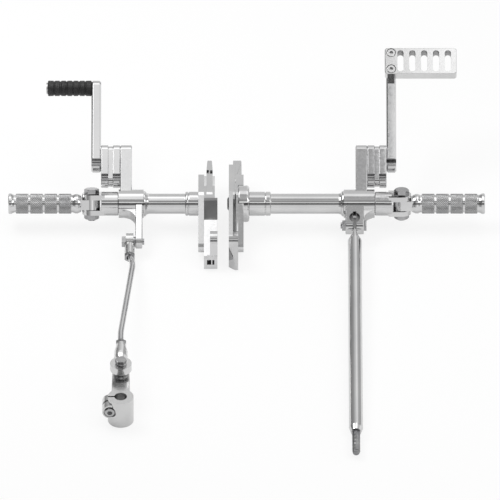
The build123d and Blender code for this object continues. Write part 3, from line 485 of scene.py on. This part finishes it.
def roundOutline(piece, shape, look):
    # only sharp edges of the side outline, which keep one place across the width, away from the pockets
    bpy.ops.object.mode_set(mode="EDIT")
    bpy.ops.mesh.select_mode(type="EDGE")
    bpy.ops.mesh.select_all(action="DESELECT")
    bpy.ops.mesh.edges_select_sharp(sharpness=radians(look["sharpAngle"]))
    bpy.ops.object.mode_set(mode="OBJECT")
    sharp = {edge.index for edge in piece.data.edges if edge.select}
    corners = piece.data.vertices

    def wanted(edge):
        first, second = (corners[i].co for i in edge.vertices)
        level = abs(first.x - second.x) < look["level"]
        return edge.index in sharp and level and not inPocket(first) and not inPocket(second)

    pick(piece, wanted, "EDGE")
    bpy.ops.mesh.bevel(offset=shape["round"], segments=look["segments"], clamp_overlap=True)
    bpy.ops.object.mode_set(mode="OBJECT")


def narrowTip(piece, shape, look):
    start, end = shape["tipAlong"]
    left, right = shape["tipAcross"]
    middle = (left + right) / 2
    for vertex in piece.data.vertices:
        point = vertex.co
        if point.y > start and left - look["slack"] < point.x < right + look["slack"]:
            along = min((point.y - start) / (end - start), 1.0)
            point.x = middle + (point.x - middle) * (1.0 - look["share"] * along ** look["power"])


# the raised ends of the two cranks reach a little further: what lies beyond a place along their slope is
# moved up it by the extra
crankEnds = {
    "nodes": (
        "shift_hub", "shift_inner_link", "shift_outer_link", "shift_link_spacer",
        "brake_hub", "brake_inner_link", "brake_outer_link", "brake_link_spacer",
    ),
    "slope": 27.0, "from": 0.064, "extra": 0.0060,
}


def reachFurther(piece, look):
    slope = radians(look["slope"])
    along = Vector((0.0, cos(slope), sin(slope)))
    for vertex in piece.data.vertices:
        if vertex.co.dot(along) > look["from"]:
            vertex.co += along * look["extra"]


def thinCore(piece, radius, shorter):
    # the stud is turned down to the root of the thread, and its tip drawn back to where the photo has it
    top, tip = endCentre(piece, True), endCentre(piece, False)
    along = (top - tip).normalized()
    for vertex in piece.data.vertices:
        onAxis = tip + along * (vertex.co - tip).dot(along)
        out = vertex.co - onAxis
        if out.length > radius:
            out = out.normalized() * radius
        if (vertex.co - tip).dot(along) < shorter:
            onAxis += along * shorter
        vertex.co = onAxis + out


# the shift rod's slow bends: the upper bend by its offset across from the top, its place along Y and its
# share of the drop, the foot by its place in X and Y, and then the length of the curve's handles
rodBends = {
    "bend": (0.0036, -0.128), "bendDrop": 0.25, "foot": (-0.124, -0.292),
    "topEnd": 0.022, "slow": 0.020, "ends": 0.014,
    "radius": 0.0038, "steps": 24, "roundSteps": 8, "smoothAngle": 40.0,
}


def makeShiftRod(look):
    source = nodes["shift_rod"]
    top, tip = endCentre(source, True), endCentre(source, False)
    bend = Vector((top.x + look["bend"][0], look["bend"][1], top.z + (tip.z - top.z) * look["bendDrop"]))
    foot = Vector((look["foot"][0], look["foot"][1], tip.z))
    down = Vector((0.0, -1.0, 0.0))
    slant = (foot - bend).normalized()
    stops = [
        (top, down * look["topEnd"]), (bend, slant * look["slow"]),
        (foot, slant * look["ends"]), (tip, down * look["ends"]),
    ]
    bpy.ops.object.select_all(action="DESELECT")
    bpy.ops.curve.primitive_bezier_curve_add(location=(0.0, 0.0, 0.0))
    piece = bpy.context.object
    piece.name = "shiftRodBent"
    curve = piece.data
    curve.dimensions = "3D"
    points = curve.splines[0].bezier_points
    points.add(len(stops) - len(points))
    for point, (place, handle) in zip(points, stops):
        point.handle_left_type = point.handle_right_type = "FREE"
        point.co = place
        point.handle_left = place - handle
        point.handle_right = place + handle
    curve.resolution_u = look["steps"]
    curve.bevel_depth = look["radius"]
    curve.bevel_resolution = look["roundSteps"]
    curve.use_fill_caps = True
    bpy.ops.object.convert(target="MESH")
    piece = bpy.context.object
    bpy.ops.object.mode_set(mode="EDIT")
    bpy.ops.mesh.select_all(action="SELECT")
    bpy.ops.mesh.remove_doubles(threshold=softening["merge"])
    bpy.ops.mesh.normals_make_consistent(inside=False)
    bpy.ops.object.mode_set(mode="OBJECT")
    bpy.ops.object.shade_smooth_by_angle(angle=radians(look["smoothAngle"]))
    wear(piece, slotOf["shift_rod"])
    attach(piece, bodyOf["shift_rod"])
    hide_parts("shift_rod")


# boxes round the faces that get a dull finish and painted shade, and in the saddle only those that rise between
# these two heights of their normal
paintedShadeAreas = {
    "left_bracket": {
        "low": (-0.0182, -0.0345, -0.0080), "high": (0.0005, -0.0125, 0.0185), "rise": (0.02, 0.97),
    },
    "right_bracket": {
        "low": (0.0198, -0.0850, -0.0100), "high": (0.0246, 0.0110, 0.0172), "rise": None,
    },
    "brake_rod": {
        "low": (0.1600, -0.0520, -0.0400), "high": (0.2000, -0.0200, 0.0200), "rise": None,
    },
}


# marks the faces in a box for painted shade and a dull finish
def markPaintedShade(piece, area):
    low, high, rise = area["low"], area["high"], area["rise"]
    shadeMark = piece.data.attributes.new("dullShadedFace", "FLOAT", "FACE")
    for face in piece.data.polygons:
        inside = all(low[axis] < face.center[axis] < high[axis] for axis in range(3))
        if inside and (rise is None or rise[0] < face.normal.z < rise[1]):
            shadeMark.data[face.index].value = 1.0


# the brake fork's bore and slot, which get painted shade and a dull finish, by the bore's axis and size; the
# bore's faces are small and the slot's look sideways
forkBore = {
    "centre": (0.1789, -0.0336, 0.0049), "axis": (0.0, -0.77, 0.64), "radius": 0.0078,
    "largestFace": 0.0001, "slotHalf": 0.0042, "sideways": 0.9,
}


def markBore(piece, look):
    centre, axis = Vector(look["centre"]), Vector(look["axis"]).normalized()
    shadeMark = piece.data.attributes.new("dullShadedFace", "FLOAT", "FACE")
    for face in piece.data.polygons:
        out = face.center - centre
        fromAxis = (out - axis * out.dot(axis)).length
        inBore = fromAxis < look["radius"] and face.area < look["largestFace"]
        inSlot = abs(out.x) < look["slotHalf"] and abs(face.normal.x) > look["sideways"] and out.y < 0.0
        shadeMark.data[face.index].value = float(inBore or inSlot)


# painted shade and a duller finish on the walls of the slots in the brake pad, away from its outer edges, by how
# little they face up
padSlots = {"along": (0.0, 0.89, 0.45), "margin": 0.0028, "side": 0.35, "dullnessAndShade": 0.55}


def markSlots(piece, look):
    along = Vector(look["along"]).normalized()
    up = Vector((0.0, -along.z, along.y))
    reach = [vertex.co.dot(along) for vertex in piece.data.vertices]
    first, last = min(reach) + look["margin"], max(reach) - look["margin"]
    across = [vertex.co.x for vertex in piece.data.vertices]
    left, right = min(across) + look["margin"], max(across) - look["margin"]
    shadeMark = piece.data.attributes.new("dullShadedFace", "FLOAT", "FACE")
    for face in piece.data.polygons:
        inside = first < face.center.dot(along) < last and left < face.center.x < right
        onWall = inside and abs(face.normal.dot(up)) < look["side"]
        shadeMark.data[face.index].value = look["dullnessAndShade"] if onWall else 0.0


# nodes that the photo shows brighter than their slot's usual finish
brighterNodes = {
    "left_peg": "polished_alloy", "right_peg": "polished_alloy", "shift_ball_housing": "satin_alloy",
    "shift_rod_eye": "satin_alloy", "brake_pad_screws": "satin_alloy",
}


def softCopy(nodeName, edge, look):
    source = nodes[nodeName]
    piece = bpy.data.objects.new(softName(nodeName), source.data.copy())
    scene.collection.objects.link(piece)
    makeActive(piece)
    bpy.ops.object.mode_set(mode="EDIT")
    bpy.ops.mesh.select_all(action="SELECT")
    bpy.ops.mesh.remove_doubles(threshold=look["merge"])
    bpy.ops.mesh.dissolve_limited(angle_limit=radians(look["flat"]))
    bpy.ops.object.mode_set(mode="OBJECT")
    if nodeName in crankEnds["nodes"]:
        reachFurther(piece, crankEnds)
    if nodeName == "brake_rod_stud":
        thinCore(piece, studThread["core"], studThread["shorter"])
    if nodeName in bracketShapes:
        narrowTip(piece, bracketShapes[nodeName], tipNarrowing)
        roundOutline(piece, bracketShapes[nodeName], outlineRounding)
    bevel = piece.modifiers.new("brokenEdge", "BEVEL")
    bevel.width = edge
    bevel.segments = look["segments"]
    bevel.limit_method = "ANGLE"
    bevel.angle_limit = radians(look["bevelAngle"])
    bevel.miter_outer = "MITER_ARC"
    bpy.ops.object.modifier_apply(modifier=bevel.name)
    bpy.ops.object.shade_smooth_by_angle(angle=radians(look["smoothAngle"]))
    weighted = piece.modifiers.new("flatFaces", "WEIGHTED_NORMAL")
    weighted.keep_sharp = True
    weighted.weight = look["flatWeight"]
    bpy.ops.object.modifier_apply(modifier=weighted.name)
    # painted shade and a dull finish on the marked faces
    if nodeName in paintedShadeAreas:
        markPaintedShade(piece, paintedShadeAreas[nodeName])
    if nodeName == "brake_hub":
        markBore(piece, forkBore)
    if nodeName == "brake_pad":
        markSlots(piece, padSlots)
    shine = brighterNodes.get(nodeName, slotOf[nodeName])
    wear(piece, shine)
    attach(piece, bodyOf[nodeName])
    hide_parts(nodeName)


makeKnurledBands("leftPegKnurl", pivotOf["left_peg_fold"], -1, "left_footpeg", pegKnurl)
makeKnurledBands("rightPegKnurl", pivotOf["right_peg_fold"], 1, "right_footpeg", pegKnurl)
makeToeSleeve(toeRibs)
print("stage: pegs and toe sleeve")
makeStudThread(studThread)
makeShiftRod(rodBends)
print("stage: stud thread and shift rod")
for nodeName, edge in softEdges.items():
    softCopy(nodeName, edge, softening)
print("stage: softened bodies")


# floor and light
studio = {
    "floorSize": 9.0, "floorCentre": (0.04, -0.1), "floorGap": 0.0004,
    "floorShade": (0.93, 0.93, 0.93), "floorRough": 0.9, "floorShine": 0.1,
    "whiteShare": 0.84,  # how much of the seen floor is plain white; the rest keeps the shadow
    "mirroredShare": 0.35,  # the same for the floor that the metal mirrors
}
lamps = {
    "leftSoftbox": {
        "place": (-0.75, 0.25, 1.35), "aim": (0.0, -0.05, 0.0), "size": (0.9, 0.7), "power": 10.0,
    },
    "leftPanel": {
        "place": (-0.2, 0.22, 1.2), "aim": (-0.2, 0.22, 0.0), "size": (0.40, 1.15), "power": 0.86,
    },
    "rightPanel": {
        "place": (0.370, 0.22, 1.2), "aim": (0.370, 0.22, 0.0), "size": (0.26, 1.15), "power": 0.95,
    },
    "rightSoftbox": {
        "place": (1.05, -0.55, 1.2), "aim": (0.05, -0.1, 0.0), "size": (0.5, 0.8), "power": 4.0,
    },
}


def litWhite(tree, plain):
    # what the camera, the metal and glass see of the floor is mixed with plain white
    path = addNode(tree, "ShaderNodeLightPath")
    mirrored = addNode(tree, "ShaderNodeMath", operation="MAXIMUM")
    inMetal = addNode(tree, "ShaderNodeMath", operation="MULTIPLY")
    share = addNode(tree, "ShaderNodeMath", operation="MULTIPLY_ADD")
    tree.links.new(path.outputs["Is Glossy Ray"], mirrored.inputs[0])
    tree.links.new(path.outputs["Is Transmission Ray"], mirrored.inputs[1])
    tree.links.new(mirrored.outputs[0], inMetal.inputs[0])
    inMetal.inputs[1].default_value = studio["mirroredShare"]
    tree.links.new(path.outputs["Is Camera Ray"], share.inputs[0])
    share.inputs[1].default_value = studio["whiteShare"]
    tree.links.new(inMetal.outputs[0], share.inputs[2])
    glow = addNode(tree, "ShaderNodeEmission")
    glow.inputs["Color"].default_value = (1.0, 1.0, 1.0, 1.0)
    glow.inputs["Strength"].default_value = 1.0
    mix = addNode(tree, "ShaderNodeMixShader")
    tree.links.new(share.outputs[0], mix.inputs["Fac"])
    tree.links.new(plain.outputs[0], mix.inputs[1])
    tree.links.new(glow.outputs[0], mix.inputs[2])
    return mix


def makeFloor():
    bpy.ops.object.select_all(action="DESELECT")
    level = cadBox[0].z - studio["floorGap"]
    bpy.ops.mesh.primitive_plane_add(size=studio["floorSize"], location=(*studio["floorCentre"], level))
    floor = bpy.context.object
    floor.name = "studioFloor"
    material, tree, shader = newMaterial("floorPaper")
    shader.inputs["Base Color"].default_value = (*studio["floorShade"], 1.0)
    shader.inputs["Roughness"].default_value = studio["floorRough"]
    shader.inputs["Specular IOR Level"].default_value = studio["floorShine"]
    end = findNode(tree, "OUTPUT_MATERIAL")
    tree.links.new(litWhite(tree, shader).outputs[0], end.inputs["Surface"])
    floor.data.materials.append(material)


# the room that the metal mirrors, in greys: from the front horizon over the top to the back one, times
# from left to right, each as places from 0 to 1 with the grey at that place
room = {
    "strength": 1.0,
    "frontToBack": [
        (0.00, 0.92), (0.09, 0.90), (0.13, 0.50), (0.155, 0.40), (0.175, 0.03), (0.225, 0.03), (0.24, 0.95),
        (0.275, 1.10), (0.295, 0.34), (0.34, 0.40), (0.38, 0.56), (0.54, 0.50), (0.565, 1.15), (0.67, 1.12),
        (0.71, 0.80), (1.00, 0.76),
    ],
    "leftToRight": [
        (0.00, 0.40), (0.06, 0.30), (0.28, 0.50), (0.42, 0.85), (0.47, 1.00), (0.53, 1.00), (0.58, 1.45),
        (0.66, 1.15), (0.73, 0.72), (0.86, 0.60), (0.93, 1.40), (1.00, 1.20),
    ],
}


def greyRamp(tree, source, stops):
    ramp = addNode(tree, "ShaderNodeValToRGB")
    ends = ramp.color_ramp.elements
    for end, (position, value) in zip((ends[0], ends[1]), (stops[0], stops[-1])):
        end.position = position
        end.color = (value, value, value, 1.0)
    for position, value in stops[1:-1]:
        stop = ends.new(position)
        stop.color = (value, value, value, 1.0)
    tree.links.new(source, ramp.inputs["Fac"])
    return ramp.outputs["Color"]


def makeWorld():
    world = bpy.data.worlds.new("studioAir")
    scene.world = world
    world.use_nodes = True
    tree = world.node_tree
    end = findNode(tree, "OUTPUT_WORLD")
    plain = findNode(tree, "BACKGROUND")
    place = addNode(tree, "ShaderNodeTexCoord")
    parts = addNode(tree, "ShaderNodeSeparateXYZ")
    front = addNode(tree, "ShaderNodeMath", operation="MULTIPLY")
    front.inputs[1].default_value = -1.0
    angle = addNode(tree, "ShaderNodeMath", operation="ARCTAN2")
    tree.links.new(place.outputs["Generated"], parts.inputs[0])
    tree.links.new(parts.outputs["Y"], front.inputs[0])
    tree.links.new(parts.outputs["Z"], angle.inputs[0])
    tree.links.new(front.outputs[0], angle.inputs[1])
    over = rangeOf(tree, angle.outputs[0], 0.0, 1.0, 0.0, pi)
    across = rangeOf(tree, parts.outputs["X"], 0.0, 1.0, -1.0, 1.0)
    both = addNode(tree, "ShaderNodeMath", operation="MULTIPLY")
    tree.links.new(greyRamp(tree, over, room["frontToBack"]), both.inputs[0])
    tree.links.new(greyRamp(tree, across, room["leftToRight"]), both.inputs[1])
    tree.links.new(both.outputs[0], plain.inputs["Color"])
    plain.inputs["Strength"].default_value = room["strength"]
    white = addNode(tree, "ShaderNodeBackground")  # what the camera sees behind the floor
    white.inputs["Color"].default_value = (1.0, 1.0, 1.0, 1.0)
    path = addNode(tree, "ShaderNodeLightPath")
    mix = addNode(tree, "ShaderNodeMixShader")
    tree.links.new(path.outputs["Is Camera Ray"], mix.inputs["Fac"])
    tree.links.new(plain.outputs[0], mix.inputs[1])
    tree.links.new(white.outputs[0], mix.inputs[2])
    tree.links.new(mix.outputs[0], end.inputs["Surface"])


def makeLamps():
    for name, lamp in lamps.items():
        bpy.ops.object.light_add(type="AREA", location=lamp["place"])
        light = bpy.context.object
        light.name = name
        light.data.shape = "RECTANGLE"
        light.data.size = lamp["size"][0]
        light.data.size_y = lamp["size"][1]
        light.data.energy = lamp["power"]
        light.rotation_mode = "QUATERNION"
        beam = Vector(lamp["aim"]) - Vector(lamp["place"])
        light.rotation_quaternion = beam.to_track_quat("-Z", "Y")


makeFloor()
makeWorld()
makeLamps()
print("stage: studio")
